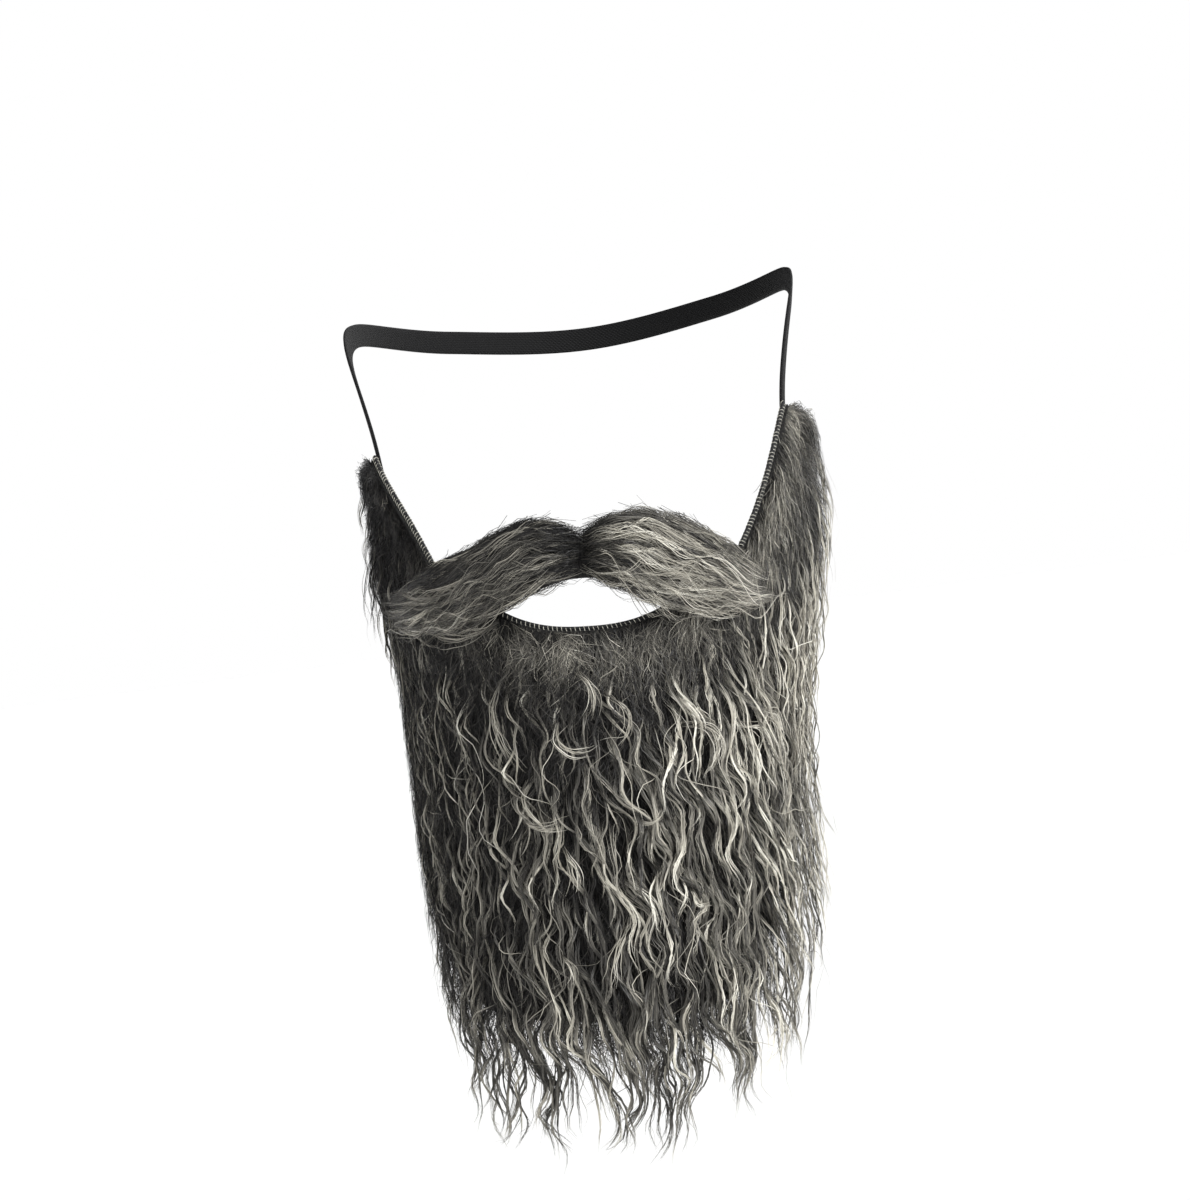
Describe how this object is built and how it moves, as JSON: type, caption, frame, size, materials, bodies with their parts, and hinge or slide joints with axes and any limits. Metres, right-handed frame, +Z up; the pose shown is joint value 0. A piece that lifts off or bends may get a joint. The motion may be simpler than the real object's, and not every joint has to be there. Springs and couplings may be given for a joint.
{
  "type": "costume beard",
  "caption": "Costume full beard of long wavy grey pile on knitted fabric, with a separate whiter moustache and a black head elastic, in its worn form.",
  "frame": {"origin": "inner face of the beard's fabric where it rests on the point of the chin", "axes": "+Z up towards the wearer's nose, -Y out of the face, +X to the wearer's left"},
  "size_m": [0.155, 0.22, 0.274],
  "materials": {
    "knitted_backing": "matt knit",
    "grey_pile": "long wavy pile",
    "pale_pile": "long wavy pile",
    "overlock_thread": "spun thread",
    "black_elastic": "ribbed elastic"
  },
  "bodies": {
    "root": {"beard_backing": "knitted_backing", "beard_fur": "grey_pile", "moustache_backing": "knitted_backing", "moustache_fur": "pale_pile", "cheek_edging_left": "overlock_thread", "cheek_edging_right": "overlock_thread", "lip_edging": "overlock_thread", "head_elastic": "black_elastic"}
  },
  "joints": []
}
